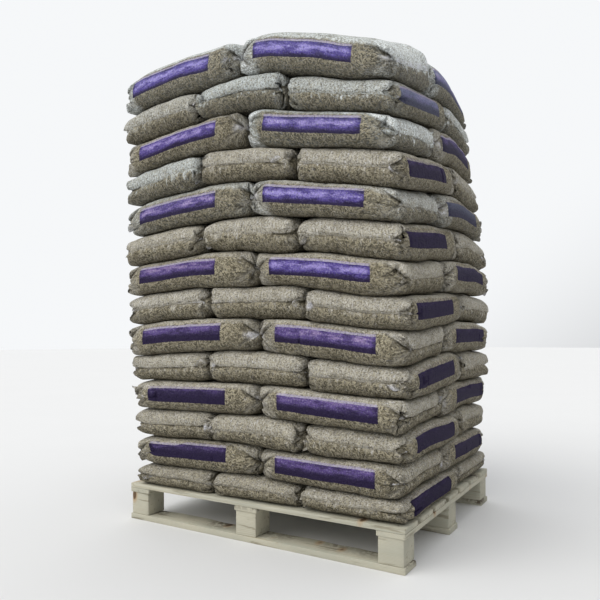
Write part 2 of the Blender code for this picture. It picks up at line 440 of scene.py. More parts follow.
def film_mesh(name, grid, top):
    """A closed mesh of the film, with its place on the film and on the folds as a UV map and attributes."""
    rows, columns, _ = grid.shape
    used, numbered = np.unique(film_quads(rows, columns), return_inverse=True)
    points = with_thick_seals(grid)
    mesh = bpy.data.meshes.new(name)
    mesh.from_pydata(points.reshape(-1, 3)[used].tolist(), [], numbered.reshape(-1, 4).tolist())

    step = FILM_ROUND / rows
    below = (np.arange(rows) + rows // 4) % rows * FILM_ROUND / rows
    u = np.broadcast_to(np.linspace(-FILM_ALONG / 2, FILM_ALONG / 2, columns), (rows, columns))
    v = np.broadcast_to(below[:, None], (rows, columns))
    corners = np.stack((u[:, :-1], v[:, :-1], u[:, :-1], v[:, :-1] + step, u[:, 1:], v[:, 1:] + step,
                        u[:, 1:], v[:, 1:]), -1)
    mesh.uv_layers.new(name="film").data.foreach_set("uv", corners.ravel())

    height = FILM_ROUND / 4 - np.abs(v - FILM_ROUND / 2)
    store(mesh, "film_at", np.stack((u, height, creased(grid)), -1).reshape(-1, 3)[used])
    level, share, beside = folds(grid, top)
    loose = smooth_step(beside / 0.006 + 0.5)
    line = np.exp(-(beside / FOLD_LINE_WIDTH) ** 2) * fold_strength(share) * (share > 0.10)
    line *= np.sign(level - FOLD_MIDDLE)
    store(mesh, "fold_at", np.stack((level, loose, line), -1).reshape(-1, 3)[used])
    return mesh


def hidden_share(points, sides_shown, top_shown):
    """How hidden each point of a sack is by its neighbours, from 0 in full view to 1."""
    along, across, height = (points / (SACK_LENGTH / 2, SACK_WIDTH / 2, SACK_HEIGHT / 2)).T
    end = smooth_step((along - 0.80) / 0.12)
    side = smooth_step((across - 0.72) / 0.15) * sides_shown
    top = smooth_step((height - 0.6) / 0.3) * top_shown
    other_end = smooth_step((-along - 0.85) / 0.10) * 0.5 * top_shown
    return 1 - np.clip(np.maximum.reduce((end, side, top, other_end)), 0, 1)


def lighter_mesh(mesh, triangles, sides_shown, top_shown):
    """A copy of the mesh with about this many triangles, most of them where the sack is seen."""
    subject = in_scene("subject", mesh)
    group = subject.vertex_groups.new(name="hidden")
    shares = hidden_share(stored(mesh.vertices, "co"), sides_shown, top_shown)
    for level in range(1, 11):
        chosen = np.nonzero(np.round(shares * 9).astype(int) == level - 1)[0].tolist()
        group.add(chosen, 0.1 * level, "REPLACE")
    decimate = subject.modifiers.new("fewer", "DECIMATE")
    decimate.vertex_group = group.name
    decimate.vertex_group_factor = 6.0
    decimate.ratio = min(1.0, triangles / (2 * len(mesh.polygons)))
    decimate.use_collapse_triangulate = True
    graph = bpy.context.evaluated_depsgraph_get()
    lighter = bpy.data.meshes.new_from_object(
        subject.evaluated_get(graph), preserve_all_data_layers=True, depsgraph=graph)
    bpy.data.objects.remove(subject)
    return lighter


def turned_over(grid):
    """The same sack seen from its other long side: +Y and -Y change places."""
    rows = grid.shape[0]
    swapped = grid[(rows // 2 - np.arange(rows)) % rows].copy()
    swapped[..., 1] *= -1
    return swapped


def sack_patterns():
    """Meshes of sacks by where they lie: at a corner of the stack, between two others or in the top layer."""
    patterns = {"corner": [], "middle": [], "top": [], "top_middle": []}
    top = SACK_HEIGHT / 2
    for number, seed in enumerate(PRESSED_SEEDS):
        grid = filled_box(simulate_sack(seed, 0.03 + 0.01 * (number % 3), pressed_room), top)
        for side in (grid, turned_over(grid)):
            mesh = film_mesh(f"pressed_{seed}", folded_corners(side, top), top)
            patterns["corner"].append(lighter_mesh(mesh, CORNER_TRIANGLES, 1, 0))
        mesh = film_mesh(f"middle_{seed}", grid, top)
        patterns["middle"].append(lighter_mesh(mesh, MIDDLE_TRIANGLES, 0, 0))
    for seed in TOP_SEEDS:
        grid = filled_box(simulate_sack(seed, 0.04, heaped_room), HEAP_TOP)
        mesh = film_mesh(f"top_{seed}", folded_corners(grid, HEAP_TOP), HEAP_TOP)
        patterns["top"].append(lighter_mesh(mesh, TOP_TRIANGLES, 1, 1))
        mesh = film_mesh(f"top_middle_{seed}", grid, HEAP_TOP)
        patterns["top_middle"].append(lighter_mesh(mesh, TOP_TRIANGLES, 0, 1))
    return patterns


# Placing the sacks in the stack


def seam_level(seam):
    """Height of a seam at the middle of the pallet. Seam 0 is the deck, and seam 14 the top."""
    height = DECK_TOP + (FIRST_LAYER if seam else 0)
    for layer in range(2, seam + 1):
        looseness = min((layer - 2) / PRESSED_LAYERS, 1.0)
        height += PRESSED_LAYER + (LOOSE_LAYER - PRESSED_LAYER) * looseness
    return height


def seam_waves(seam, x, y):
    """Uneven lie of a seam: a few low waves, none on the deck."""
    if seam == 0:
        return 0 * x
    dice = random.Random(500 + seam)
    height = 0 * x
    for length in (0.62, 0.41, 0.27, 0.19):
        turn = dice.uniform(0, 2 * math.pi)
        phase = dice.uniform(0, 2 * math.pi)
        height = height + 0.006 * length * np.sin(
            2 * math.pi * (x * math.cos(turn) + y * math.sin(turn)) / length + phase)
    return height


def seam_height(seam, x, y):
    level = seam_level(seam)
    near = smooth_step((x + 0.2) / 0.8) * smooth_step((0.3 - y) / 0.8)
    sag = CROWN_ALONG * x * x + CROWN_DEEP * y * y + NEAR_CORNER_SAG * near
    return level - (level - DECK_TOP) * sag + seam_waves(seam, x, y)


def reach(limits, height):
    low, high = limits
    return low + (high - low) * smooth_step((height - DECK_TOP) / REACH_RISE)


def placed(x, y, height):
    """Where a point of the even 1.2 by 1.0 stack lies in the real one at that height."""
    across = np.where(x < 0, reach(LEFT_REACH, height), reach(RIGHT_REACH, height))
    deep = np.where(y < 0, reach(FRONT_REACH, height), reach(BACK_REACH, height))
    u = x / HALF_LENGTH
    v = y / HALF_DEPTH
    lean = np.maximum((height - LEAN_START) / (LEAN_FULL - LEAN_START), 0) * np.maximum(u, 0)
    far = np.maximum(v, 0)
    lean_left = lean * (RIGHT_LEAN + (FAR_CORNER_LEAN - RIGHT_LEAN) * far)
    return u * across - lean_left, v * deep - lean * far * FAR_CORNER_LEAN


def slid(layer, x):
    """The X of the front sacks of a layer, moved so that they meet where the real ones do."""
    even = (0.0,) if layer % 2 == 0 else (-SACK_WIDTH / 2, SACK_WIDTH / 2)
    moves = [joint - place for joint, place in zip(FRONT_JOINTS[layer], even)]
    return x + np.interp(x, (-HALF_LENGTH, *even, HALF_LENGTH), (0.0, *moves, 0.0))


# Where a sack lies: its middle, and its way out of the stack along the sack and across it
Slot = namedtuple("Slot", "layer place middle end side")


def layer_slots(layer):
    """The five sacks of a layer, the long ones in front in the even layers and behind in the odd ones."""
    turn = 1 if layer % 2 == 0 else -1
    front, back = ("front", "back") if turn == 1 else ("back", "front")
    left, right = ("left", "right") if turn == 1 else ("right", "left")
    slots = [
        (f"{front}_{left}", (-0.3, -0.3), (-1, 0), (0, -1)),
        (f"{front}_{right}", (0.3, -0.3), (1, 0), (0, -1)),
        (f"{back}_{left}", (-0.4, 0.2), (0, 1), (-1, 0)),
        (f"{back}_middle", (0.0, 0.2), (0, 1), (1, 0)),
        (f"{back}_{right}", (0.4, 0.2), (0, 1), (1, 0)),
    ]
    return [Slot(layer, place, *(turn * np.array(way) for way in ways)) for place, *ways in slots]


def band_middle(layer, place, side):
    """Where the middle of a sack's band is seen, along the sack, or None on the far sides."""
    if side[1] < 0 and layer in FRONT_BANDS:
        return FRONT_BANDS[layer][place == "front_right"]
    if side[0] > 0 and place.endswith("right"):
        return RIGHT_BANDS[layer]
    return None


def lifted(place, outer_along, outer_across):
    """The thickness of a top sack at each point, as a share of the simulated one's."""
    near, far, beside = TOP_LIFT.get(place, (0.0, 0.0, 0.0))
    lift = (near * outer_across + far * (1 - outer_across) ** 3) * outer_along**8
    return 1 + (lift + beside * outer_across**2 * outer_along)


def fitted(points, slot, dice):
    """A sack's points in its place in the stack, and its thickness as a share of the simulated one's."""
    along, across, height = points.T
    # The outer end and side may stand out or back a little, and the inner ones stay in line
    out_end = dice.uniform(-END_SHIFT, END_SHIFT) + dice.uniform(-END_TURN, END_TURN) * across / SACK_WIDTH
    out_side = dice.uniform(*SIDE_SHIFT) + dice.uniform(-SIDE_TURN, SIDE_TURN) * along / SACK_LENGTH
    bulge = SIDE_BULGE * smooth_step(across / (SACK_WIDTH / 2)) * (1 - (2 * height / SACK_HEIGHT) ** 2)
    outer_along = smooth_step((along + SACK_LENGTH / 2) / SACK_LENGTH)
    outer_across = smooth_step((across + SACK_WIDTH / 2) / SACK_WIDTH)
    along = np.maximum(along, CLEARANCE - SACK_LENGTH / 2) + out_end * outer_along
    across = across * (1 - 2 * CLEARANCE / SACK_WIDTH) + out_side * outer_across + bulge

    x, y = (slot.middle[axis] + along * slot.end[axis] + across * slot.side[axis] for axis in (0, 1))
    if slot.place.startswith("front"):
        x = slid(slot.layer, x)
    low = seam_height(slot.layer - 1, x, y) + CLEARANCE / 2
    if slot.layer == LAYERS:
        thickness = 1.0
        rise = lifted(slot.place, outer_along, outer_across)
    else:
        thickness = (seam_height(slot.layer, x, y) - CLEARANCE / 2 - low) / SACK_HEIGHT
        rise = thickness
    z = low + (height + SACK_HEIGHT / 2) * rise
    x, y = placed(x, y, seam_level(slot.layer - 1) + SACK_HEIGHT / 2 + height)
    return np.stack((x, y, z), -1), thickness


def note_looks(mesh, lengthwise, above, slot, dice):
    """Keeps what the material needs to know of a sack's band and haze as attributes."""
    layer, place, _, end, side = slot
    seen = band_middle(layer, place, side)
    if seen is None:
        seen = (lengthwise.min() + lengthwise.max()) / 2 + dice.uniform(-0.02, 0.02)
    # How far the print has paled, and how much painted light it catches: least on the shaded right side
    faded = FADED_SHADED if side[0] > 0 else FADED_LEFT if place == "front_left" else FADED_RIGHT
    height_share = (layer - 1) / (LAYERS - 1)
    fading = np.interp(height_share, np.linspace(0, 1, len(faded)), faded) + dice.uniform(-0.06, 0.06)
    store(mesh, "band_at", np.stack(np.broadcast_arrays(lengthwise - seen, above, fading), -1))
    haziness = HAZE_LOW + HAZE_RISE * layer / LAYERS + dice.uniform(-HAZE_SPREAD, HAZE_SPREAD)
    haziness += TOP_HAZE * (layer == LAYERS)
    # Loose, pale film lies beside the band at the inner end, but on the left front sacks at the outer one
    pale_end = 1 if layer % 2 == 0 and place == "front_left" else -1
    # The third value is how much painted highlight of the sky shows on the loose film: most on ends that face
    # right
    store(mesh, "own", np.tile((pale_end, haziness, 1.0 if end[0] > 0 else 0.2), (len(above), 1)))
    # How much haze and painted reflection of the sky lie over its print
    store(mesh, "veiled", np.full(len(above), BAND_VEIL[side[0] > 0]))


def lay_sack(pattern, slot, dice):
    """Fits a copy of a sack mesh into its place in the stack."""
    mesh = pattern.copy()
    mesh.name = f"sack_{slot.layer:02d}_{slot.place}"
    points = stored(mesh.vertices, "co")
    film = stored(mesh.attributes["film_at"].data, "vector")
    fold = stored(mesh.attributes["fold_at"].data, "vector")
    upside_down = slot.layer < LAYERS and dice.random() < 0.5
    if upside_down:
        points[:, 2] *= -1
        film[:, 1] *= -1
        fold[:, (0, 2)] *= -1
        mesh.attributes["film_at"].data.foreach_set("vector", film.ravel())
        mesh.attributes["fold_at"].data.foreach_set("vector", fold.ravel())

    points, thickness = fitted(points, slot, dice)
    mesh.vertices.foreach_set("co", points.ravel())
    above = thickness * (film[:, 1] + fold[:, 0] * SACK_HEIGHT / 2) / 2 - BAND_RISE
    note_looks(mesh, points[:, 0 if slot.end[1] == 0 else 1], above, slot, dice)
    uv = stored(mesh.uv_layers["film"].data, "uv", 2) + (dice.uniform(0, 9), dice.uniform(0, 9))
    mesh.uv_layers["film"].data.foreach_set("uv", uv.ravel())

    left_handed = slot.end[0] * slot.side[1] - slot.end[1] * slot.side[0] < 0
    if left_handed != upside_down:
        mesh.flip_normals()
    mesh.shade_smooth()
    sack = in_scene(mesh.name, mesh)
    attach(sack, "root")
    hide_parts(f"sack_layer_{slot.layer:02d}")
    return sack


def stack_sacks(material):
    patterns = sack_patterns()
    for layer in range(1, LAYERS + 1):
        for number, slot in enumerate(layer_slots(layer)):
            dice = random.Random(100 * layer + number)
            kind = "middle" if slot.place.endswith("middle") else "corner"
            if layer == LAYERS:
                kind = "top_middle" if kind == "middle" else "top"
            choice = (5 * layer + 3 * number) % len(patterns[kind])
            sack = lay_sack(patterns[kind][choice], slot, dice)
            sack.data.materials.clear()
            sack.data.materials.append(material)


# Materials


class Nodes:
    """Short ways to add shader nodes to a material's tree."""

    def __init__(self, tree):
        self.tree = tree

    def feed(self, node, inputs):
        """Gives each input, by its name or number, a value or another node's output."""
        for name, value in inputs.items():
            if isinstance(value, bpy.types.NodeSocket):
                self.tree.links.new(value, node.inputs[name])
            elif value is not None:
                node.inputs[name].default_value = value

    def add(self, kind, inputs=None, **settings):
        node = self.tree.nodes.new(kind)
        for name, value in settings.items():
            setattr(node, name, value)
        self.feed(node, inputs or {})
        return node

    def math(self, operation, first, second=None, third=None, clamp=False):
        inputs = {0: first, 1: second, 2: third}
        return self.add("ShaderNodeMath", inputs, operation=operation, use_clamp=clamp).outputs[0]

    def times(self, *values, clamp=False):
        """The product of the values."""
        product = values[0]
        for value in values[1:-1]:
            product = self.math("MULTIPLY", product, value)
        return self.math("MULTIPLY", product, values[-1], clamp=clamp)

    def line(self, value, slope, start):
        """The value times the slope, added to the start."""
        return self.math("MULTIPLY_ADD", value, slope, start)

    def vector(self, operation, first, second=None, scale=None):
        node = self.add("ShaderNodeVectorMath", {0: first, 1: second, 3: scale}, operation=operation)
        return node.outputs[1 if operation in ("DOT_PRODUCT", "LENGTH") else 0]

    def ramp(self, value, low, high, start=0.0, end=1.0):
        """From start to end, smoothly, as the value goes from low to high."""
        inputs = {"Value": value, "From Min": low, "From Max": high, "To Min": start, "To Max": end}
        return self.add("ShaderNodeMapRange", inputs, interpolation_type="SMOOTHSTEP").outputs[0]

    def mix(self, share, first, second):
        return self.add("ShaderNodeMix", {0: share, 6: first, 7: second}, data_type="RGBA").outputs[2]

    def coats(self, colour, *coats):
        """The colour under coats, each a share and a colour, the last one on top."""
        for share, coat in coats:
            colour = self.mix(share, colour, coat)
        return colour

    def noise(self, at, scale, detail=2.0, roughness=0.5, output="Fac"):
        """Noise from 0 to 1. Its scale is one number, or one for each axis."""
        if isinstance(scale, tuple):
            at, scale = self.vector("MULTIPLY", at, scale), 1.0
        inputs = {"Vector": at, "Scale": scale, "Detail": detail, "Roughness": roughness}
        return self.add("ShaderNodeTexNoise", inputs).outputs[output]

    def ridges(self, *settings):
        """Noise that is 0 along thin winding lines and up to 0.5 between them."""
        return self.math("ABSOLUTE", self.math("SUBTRACT", self.noise(*settings), 0.5))

    def stray(self, at, scale, amount):
        """The same place moved about by noise, by up to about half of this amount."""
        centred = self.vector("SUBTRACT", self.noise(at, scale, output="Color"), (0.5, 0.5, 0.5))
        return self.vector("ADD", at, self.vector("SCALE", centred, scale=amount))

    def attribute(self, name, output="Vector"):
        return self.add("ShaderNodeAttribute", attribute_name=name).outputs[output]

    def parts(self, vector):
        return self.add("ShaderNodeSeparateXYZ", {0: vector}).outputs

    def joined(self, x, y, z=0.0):
        """A vector of three numbers."""
        return self.add("ShaderNodeCombineXYZ", {0: x, 1: y, 2: z}).outputs[0]

    def bump(self, height, distance, strength=1.0, normal=None):
        inputs = {"Height": height, "Distance": distance, "Strength": strength, "Normal": normal}
        return self.add("ShaderNodeBump", inputs).outputs[0]


def new_material(name):
    material = bpy.data.materials.new(name)
    material.use_nodes = True
    tree = material.node_tree
    return material, Nodes(tree), tree.nodes["Principled BSDF"]


# Wood pellets: how thick, half how long, how far apart, how many beds of them lie over each other
PELLET_RADIUS = 0.0025
PELLET_HALF = 0.0044
PELLET_SPACING = 0.0122
PELLET_BEDS = 5
# Along the film, from its middle: the corners that wrinkles radiate from, the folded corners and the seals
CORNER_ALONG = 0.297
EAR_ALONG = (0.258, 0.292)
SEAL_ALONG = (0.326, 0.346)
PALE_END_ALONG = (0.205, 0.245)
PELLET_DARK = (0.125, 0.107, 0.068, 1)
PELLET_LIGHT = (0.420, 0.375, 0.262, 1)
# Painted shade: between the pellets, along the corner rays and along the upper crease of each fold
PELLET_GAP = (0.055, 0.047, 0.030, 1)
# Warm haze, also a painted highlight along the lower crease of each fold
HAZE_WARM = (0.600, 0.570, 0.500, 1)
# Haze tinted by a painted reflection of the sky, and a painted highlight of the sky on loose film
HAZE_COOL = (0.530, 0.570, 0.560, 1)
HAZE_BRIGHT = (0.950, 1.000, 1.000, 1)
HAZE_BLUE = (0.400, 0.480, 0.620, 1)
GLINT = (0.720, 0.720, 0.780, 1)
BAND_DARK = (0.021, 0.014, 0.044, 1)
BAND_VIOLET = (0.090, 0.064, 0.285, 1)
BAND_PURPLE = (0.110, 0.072, 0.235, 1)
BAND_PALE = (0.310, 0.260, 0.640, 1)
BAND_LILAC = (0.400, 0.290, 0.500, 1)
BAND_HALO = (0.430, 0.390, 0.560, 1)
# The pale rim above the band, and how sharp the band's edges are
BAND_RIM = 0.011
BAND_EDGE = 0.0006


def pellet_bed(nodes, at):
    """Loose pellets lying against the film: their height and a random tint for each."""
    height, tint = 0.0, 0.0
    for bed in range(PELLET_BEDS):
        shifted = nodes.vector("ADD", at, (0.37 * bed, 0.61 * bed, 0))
        inputs = {"Vector": shifted, "Scale": 1 / PELLET_SPACING}
        cells = nodes.add("ShaderNodeTexVoronoi", inputs, voronoi_dimensions="2D")
        chance = nodes.parts(cells.outputs["Color"])
        turn = nodes.times(chance[0], 2 * math.pi)
        way = nodes.joined(nodes.math("COSINE", turn), nodes.math("SINE", turn))
        away = nodes.vector("SUBTRACT", shifted, cells.outputs["Position"])
        run = nodes.vector("DOT_PRODUCT", away, way)
        run = nodes.math("MAXIMUM", nodes.math("MINIMUM", run, PELLET_HALF), -PELLET_HALF)
        core = nodes.vector("SCALE", way, scale=run)
        beside = nodes.vector("LENGTH", nodes.vector("SUBTRACT", away, core))
        gap = nodes.math("DIVIDE", beside, PELLET_RADIUS)
        crown = nodes.math("SUBTRACT", 1.0, nodes.times(gap, gap), clamp=True)
        crown = nodes.times(nodes.math("SQRT", crown), nodes.ramp(chance[1], 0, 1, 0.55, 1.0))
        if bed == 0:
            height, tint = crown, chance[2]
        else:
            higher = nodes.math("GREATER_THAN", crown, height)
            inputs = {0: higher, 2: tint, 3: chance[2]}
            tint = nodes.add("ShaderNodeMix", inputs, data_type="FLOAT").outputs[0]
            height = nodes.math("MAXIMUM", crown, height)
    return height, tint


def film_values(nodes):
    """What a sack's mesh tells its material, and the values that several parts of the material share."""
    film = SimpleNamespace(at=nodes.add("ShaderNodeUVMap", uv_map="film").outputs[0])
    film.along, film.rise, film.crease = nodes.parts(nodes.attribute("film_at"))
    film.level, film.loose, film.fold = nodes.parts(nodes.attribute("fold_at"))
    film.off_band, film.upright, film.fading = nodes.parts(nodes.attribute("band_at"))
    film.pale_end, film.haziness, film.glow = nodes.parts(nodes.attribute("own"))
    film.veiled = nodes.attribute("veiled", "Fac")
    film.height, film.tint = pellet_bed(nodes, film.at)
    film.outer = nodes.math("ABSOLUTE", film.along)
    film.blotch = nodes.noise(film.at, 26.0, 5.0, 0.65)
    film.fine = nodes.noise(film.at, 170.0, 3.0, 0.65)
    # How much painted reflection of the sky shows, most on the hazier, upper sacks
    film.coolness = nodes.ramp(film.haziness, 0.86, 1.06)
    return film


def pellet_colour(nodes, film):
    """The pellets behind the film: darker in grimy patches, with painted shade low on each sack and between the
    pellets.
    """
    grime = nodes.noise(film.at, 9.0, 4.0)
    colour = nodes.mix(nodes.ramp(film.tint, 0.05, 1.0), PELLET_DARK, PELLET_LIGHT)
    # Painted shade in the hollows between the pellets
    colour = nodes.mix(nodes.ramp(film.height, 0.05, 0.60), PELLET_GAP, colour)
    colour = nodes.mix(nodes.ramp(grime, 0.35, 0.7, 0.0, 0.30), colour, PELLET_DARK)
    # Painted shade: darker towards the bottom of each sack, and a little darker on the hazier sacks
    lower = nodes.ramp(nodes.line(grime, 0.9, nodes.math("ADD", film.level, -0.45)), -1.05, 0.25, 0.56, 1.0)
    shade = nodes.times(lower, nodes.ramp(film.haziness, 0.80, 1.04, 1.05, 0.88))
    return nodes.vector("SCALE", colour, scale=shade)


def film_haze(nodes, film):
    """How hazy the film is: most where it is loose, high on the ends, and also along edges, near one end and
    in creases. High on the ends and along the top edges the haze is partly loose film and partly a painted
    reflection of the sky."""
    uneven = nodes.line(film.blotch, 0.050, -0.025)
    place = nodes.add("ShaderNodeTexCoord").outputs["Object"]
    fingers = nodes.noise(nodes.stray(place, 7.0, 0.05), (62.0, 62.0, 18.0), 3.0, 0.6)
    ragged = nodes.math("ADD", uneven, nodes.line(fingers, 0.13, -0.065))
    upper = nodes.ramp(nodes.line(film.level, SACK_HEIGHT / 2, ragged), -0.014, 0.018)
    edge = nodes.ramp(nodes.line(uneven, 0.4, film.rise), 0.040, 0.056)
    one_end = nodes.ramp(nodes.line(film.along, film.pale_end, uneven), *PALE_END_ALONG)
    haze = nodes.times(film.loose, nodes.line(upper, 0.92, 0.06))
    haze = nodes.math("MAXIMUM", haze, nodes.times(edge, 0.85))
    haze = nodes.math("MAXIMUM", haze, nodes.line(one_end, 0.50, 0.08))
    haze = nodes.line(nodes.ramp(film.crease, 0.30, 0.9), 0.16, haze)
    mottled = nodes.ramp(film.blotch, 0.30, 0.65, 0.62, 1.15)
    speckled = nodes.ramp(film.fine, 0.36, 0.60, 0.30, 1.25)
    off_pellets = nodes.ramp(film.height, 0.55, 0.95, 1.0, 0.55)
    return nodes.times(haze, film.haziness, mottled, speckled, off_pellets, clamp=True)


def hazy_colour(nodes, film, haze):
    """The pellets under the haze, with a painted reflection of the sky on it: a cooler tint on the hazier
    sacks, and a painted highlight on the loose film of ends that face right and on the haziest sacks.
    """
    tint = nodes.mix(film.coolness, HAZE_WARM, HAZE_COOL)
    bright = nodes.times(film.loose, film.glow, film.coolness)
    bright = nodes.math("MAXIMUM", bright, nodes.ramp(film.haziness, 0.98, 1.16, 0.0, 0.50))
    return nodes.mix(haze, pellet_colour(nodes, film), nodes.mix(bright, tint, HAZE_BRIGHT))


def film_glints(nodes, film, haze):
    """Where light flashes on the film: in short streaks, on the seals and on the folded corners."""
    streaks = nodes.noise(nodes.stray(film.at, 12.0, 0.03), (60.0, 210.0, 1.0), 3.0, 0.6)
    shine = nodes.times(nodes.ramp(streaks, 0.55, 0.70), nodes.line(haze, 0.60, 0.12))
    sealed = nodes.times(nodes.ramp(film.outer, *SEAL_ALONG), nodes.ramp(film.rise, -0.012, 0.004))
    half_way_up = nodes.ramp(nodes.math("ABSOLUTE", film.rise), 0.003, 0.024, 1.0, 0.0)
    ear = nodes.times(nodes.ramp(film.outer, *EAR_ALONG), half_way_up)
    folded = nodes.times(nodes.math("MAXIMUM", sealed, ear), nodes.ramp(film.blotch, 0.40, 0.60, 0.0, 0.85),
                         nodes.ramp(film.fine, 0.34, 0.60, 0.55, 1.0))
    return nodes.math("MAXIMUM", shine, folded)


def corner_rays(nodes, film):
    """Thin wrinkles that radiate from the corners of a sack's sides."""
    toward = nodes.math("SUBTRACT", CORNER_ALONG, film.outer)
    spread = nodes.vector("MULTIPLY", nodes.joined(nodes.math("ARCTAN2", film.rise, toward), film.along,
                                                   film.haziness), (4.5, 9.0, 60.0))
    away = nodes.math("SQRT", nodes.line(film.rise, film.rise, nodes.times(toward, toward)))
    near = nodes.times(nodes.ramp(away, 0.012, 0.030), nodes.ramp(away, 0.035, 0.105, 1.0, 0.0))
    return nodes.times(nodes.ramp(nodes.ridges(spread, 1.0), 0.0, 0.07, 1.0, 0.0), near)


def band_light(nodes, film, down, length_in):
    """How much painted light the print catches, from 0 to 1: less towards its lower edge and its ends."""
    gleam = nodes.noise(film.at, (16.0, 50.0, 1.0), 4.0, 0.65)
    turned_away = nodes.math("SUBTRACT", down, nodes.line(film.fading, 0.42, -0.06))
    at_top = nodes.ramp(film.fading, 0.4, 1.0, 0.9, 0.3)
    return nodes.times(
        nodes.ramp(turned_away, -0.10, 0.62, 1.0, 0.06), nodes.ramp(down, 0.0, 0.42, at_top, 1.0),
        nodes.ramp(film.fading, 0.0, 1.0, 0.12, 1.0), nodes.ramp(gleam, 0.34, 0.62, 0.40, 1.20),
        nodes.ramp(length_in, 0.0, 0.020, 0.45, 1.0), clamp=True)


def band_colour(nodes, film, down, lit):
    """The violet print in its painted light and shade: bluer where it has paled, under haze and a painted
    reflection of the sky on the right side, and with painted shade between the pellets.
    """
    bluer = nodes.ramp(film.fading, 0.62, 1.00)
    return nodes.coats(
        BAND_DARK,
        (nodes.ramp(lit, 0.0, 0.45), nodes.mix(bluer, BAND_PURPLE, BAND_VIOLET)),
        (nodes.ramp(lit, 0.35, 1.0), nodes.mix(bluer, BAND_LILAC, BAND_PALE)),
        (nodes.times(film.veiled, film.coolness, nodes.ramp(down, 0.0, 0.8, 1.0, 0.3)), HAZE_BLUE),
        (nodes.times(nodes.ramp(film.fine, 0.50, 0.66), lit, 0.40), GLINT),
        (nodes.ramp(film.height, 0.15, 0.55, 0.30, 0.0), BAND_DARK))


def with_band(nodes, film, body):
    """The film's colour with the printed band over it, and a pale rim above the band."""
    wobble = nodes.line(nodes.noise(film.at, 60.0), 0.004, -0.002)
    length_in, height_in = (
        nodes.math("SUBTRACT", size / 2, nodes.math("ADD", nodes.math("ABSOLUTE", off_middle), wobble))
        for size, off_middle in ((BAND_LENGTH, film.off_band), (BAND_HEIGHT, film.upright)))
    inside = nodes.ramp(nodes.math("MINIMUM", length_in, height_in), -BAND_EDGE, BAND_EDGE)
    down = nodes.line(film.upright, -1 / BAND_HEIGHT, 0.5)
    rim = nodes.times(
        nodes.ramp(length_in, -0.004, 0.010), nodes.ramp(height_in, -BAND_RIM, -0.004, 0.0, 0.8),
        nodes.math("GREATER_THAN", film.upright, 0.0), nodes.ramp(film.fading, 0.06, 0.34, 0.12, 1.0),
        nodes.ramp(film.fine, 0.34, 0.60, 0.55, 1.1))
    band = band_colour(nodes, film, down, band_light(nodes, film, down, length_in))
    return nodes.mix(inside, nodes.mix(rim, body, BAND_HALO), band)


def film_relief(nodes, film, rays):
    """The relief: pellets, pleats where the film is loose, rays, and creases mostly round the sack."""
    pleats = nodes.noise(nodes.stray(film.at, 9.0, 0.04), (34.0, 120.0, 1.0), 3.0, 0.6)
    pleats = nodes.times(pleats, nodes.ramp(film.loose, 0.0, 1.0, 0.25, 1.0))
    creases = nodes.ridges(nodes.stray(film.at, 14.0, 0.05), (46.0, 20.0, 1.0), 4.0, 0.6)
    normal = nodes.bump(film.height, 0.0025, 0.85)
    normal = nodes.bump(pleats, 0.012, 0.8, normal)
    normal = nodes.bump(rays, -0.005, 0.8, normal)
    return nodes.bump(nodes.ramp(creases, 0.0, 0.16, 1.0, 0.0), 0.004, 0.6, normal)


def sack_material():
    """Clear film over wood pellets, hazy where it is loose, with a violet band on each long side."""
    material, nodes, shader = new_material("filled_sack")
    film = film_values(nodes)
    haze = film_haze(nodes, film)
    colour = nodes.mix(film_glints(nodes, film, haze), hazy_colour(nodes, film, haze), GLINT)
    rays = corner_rays(nodes, film)
    # Painted shade along the wrinkles that radiate from the corners
    colour = with_band(nodes, film, nodes.mix(nodes.times(rays, 0.45), colour, PELLET_GAP))
    # The creases of the folded corners: painted shadow along the upper one, a painted highlight along the lower
    # one
    colour = nodes.coats(colour, (nodes.times(film.fold, 0.92, clamp=True), PELLET_GAP),
                         (nodes.times(film.fold, -0.45, clamp=True), HAZE_WARM))
    normal = film_relief(nodes, film, rays)
    nodes.feed(shader, {
        "Base Color": colour, "Roughness": nodes.ramp(film.blotch, 0.3, 0.7, 0.34, 0.55), "Normal": normal,
        "Specular IOR Level": 0.0, "Coat Weight": 0.15, "Coat Roughness": 0.18, "Coat Normal": normal})
    return material


WOOD_PALE = (0.520, 0.500, 0.405, 1)
WOOD_RING = (0.390, 0.335, 0.215, 1)
WOOD_GREY = (0.400, 0.395, 0.325, 1)
WOOD_KNOT = (0.120, 0.070, 0.035, 1)
WOOD_HALO = (0.420, 0.265, 0.130, 1)
WOOD_BARK = (0.075, 0.055, 0.038, 1)
WOOD_STAIN = (0.190, 0.165, 0.110, 1)
RING_WIDTH = 0.0042
SAW_PITCH = 0.0045
KNOT_CELLS = 10.0
NAIL_ZINC = (0.36, 0.35, 0.33, 1)
NAIL_RUST = (0.17, 0.085, 0.045, 1)


def year_rings(nodes, grain, knot_far):
    """The dark late wood of each year ring, bent round the knots."""
    bend = nodes.ramp(knot_far, 0.05, 0.30, 0.012, 0.0)
    straight = nodes.vector("MULTIPLY", grain, (0.35, 1.0, 1.0))
    _, across, thick = nodes.parts(nodes.stray(straight, 9.0, 0.010))
    from_pith = nodes.math("SQRT", nodes.line(across, across, nodes.times(thick, thick)))
    ring = nodes.math("FRACT", nodes.math("DIVIDE", nodes.math("ADD", from_pith, bend), RING_WIDTH))
    return nodes.times(nodes.ramp(ring, 0.45, 0.92), nodes.ramp(ring, 0.94, 1.0, 1.0, 0.0))


